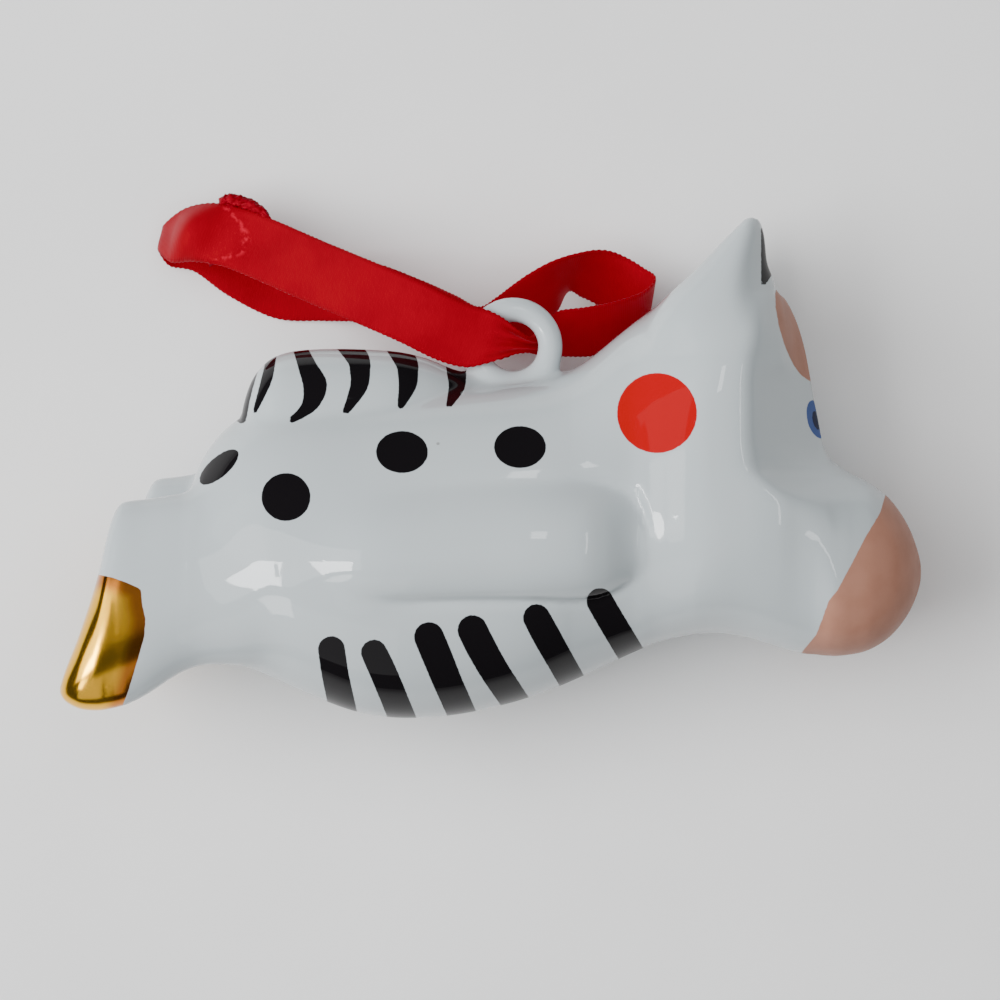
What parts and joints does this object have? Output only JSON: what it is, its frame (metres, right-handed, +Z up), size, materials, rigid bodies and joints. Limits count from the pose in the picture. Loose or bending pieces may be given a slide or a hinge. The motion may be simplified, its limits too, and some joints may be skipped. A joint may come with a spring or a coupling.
{
  "type": "porcelain animal ornament",
  "caption": "Small hollow porcelain animal with a hanger ring on its back and a satin ribbon loop to hang it by, lying on its flank.",
  "frame": {"origin": "on the table, under the middle of the porcelain as the ornament lies on its left flank", "axes": "+X from the hooves to the muzzle, +Y from the belly to the back, +Z up from the table, square to the animal's midplane"},
  "size_m": [0.0854, 0.0532, 0.0278],
  "materials": {
    "porcelain": "glossy clear glaze over cool white porcelain, with fired colours and lustre gold on the hooves",
    "ribbon": "red satin weave with a fine woven edge"
  },
  "bodies": {
    "figure": {"torso": "porcelain", "head": "porcelain", "back_crest": "porcelain", "hanger_ring": "porcelain", "ear_right": "porcelain", "ear_left": "porcelain", "foreleg_right": "porcelain", "foreleg_left": "porcelain", "hind_leg_right": "porcelain", "hind_leg_left": "porcelain"},
    "ribbon": {"ribbon_short_loop": "ribbon"},
    "ribbon_long": {"ribbon_long_loop": "ribbon", "ribbon_join": "ribbon"}
  },
  "joints": [
    {"name": "ribbon_swing", "type": "hinge", "parent": "figure", "child": "ribbon", "pos_m": [0.00202, 0.01238, 0.0136], "axis": [0, 0, 1], "range_deg": [-2.5, 3]},
    {"name": "loop_lift", "type": "hinge", "parent": "ribbon", "child": "ribbon_long", "pos_m": [-0.00143, 0.01305, 0.01544], "axis": [0.3746, 0.9272, 0], "range_deg": [0, 75]}
  ]
}
